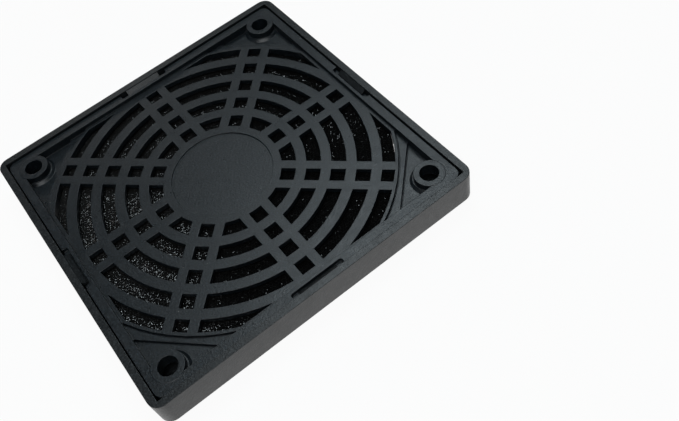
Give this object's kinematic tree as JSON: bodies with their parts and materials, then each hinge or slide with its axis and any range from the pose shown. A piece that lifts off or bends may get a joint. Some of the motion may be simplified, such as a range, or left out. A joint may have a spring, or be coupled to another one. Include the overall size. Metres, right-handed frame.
{
  "type": "fan dust filter",
  "caption": "Black plastic dust filter for a 120 mm fan: a clip-on grille cover, a foam pad and a screw-on guard, lying with the fan side up.",
  "frame": {"origin": "centre of the cover's front face, on the plane that the filter lies on", "axes": "+Z points from the front cover to the side that meets the fan; X and Y run along the square's sides, and the gate mark is on the +Y side"},
  "size_m": [0.1264, 0.1264, 0.0125],
  "materials": {
    "cover_plastic": "matte, finely textured",
    "open_cell_foam": "open-cell foam",
    "guard_plastic": "matte, finely textured"
  },
  "bodies": {
    "root": {"front_cover": "cover_plastic", "foam_pad": "open_cell_foam", "rear_guard": "guard_plastic"}
  },
  "joints": []
}
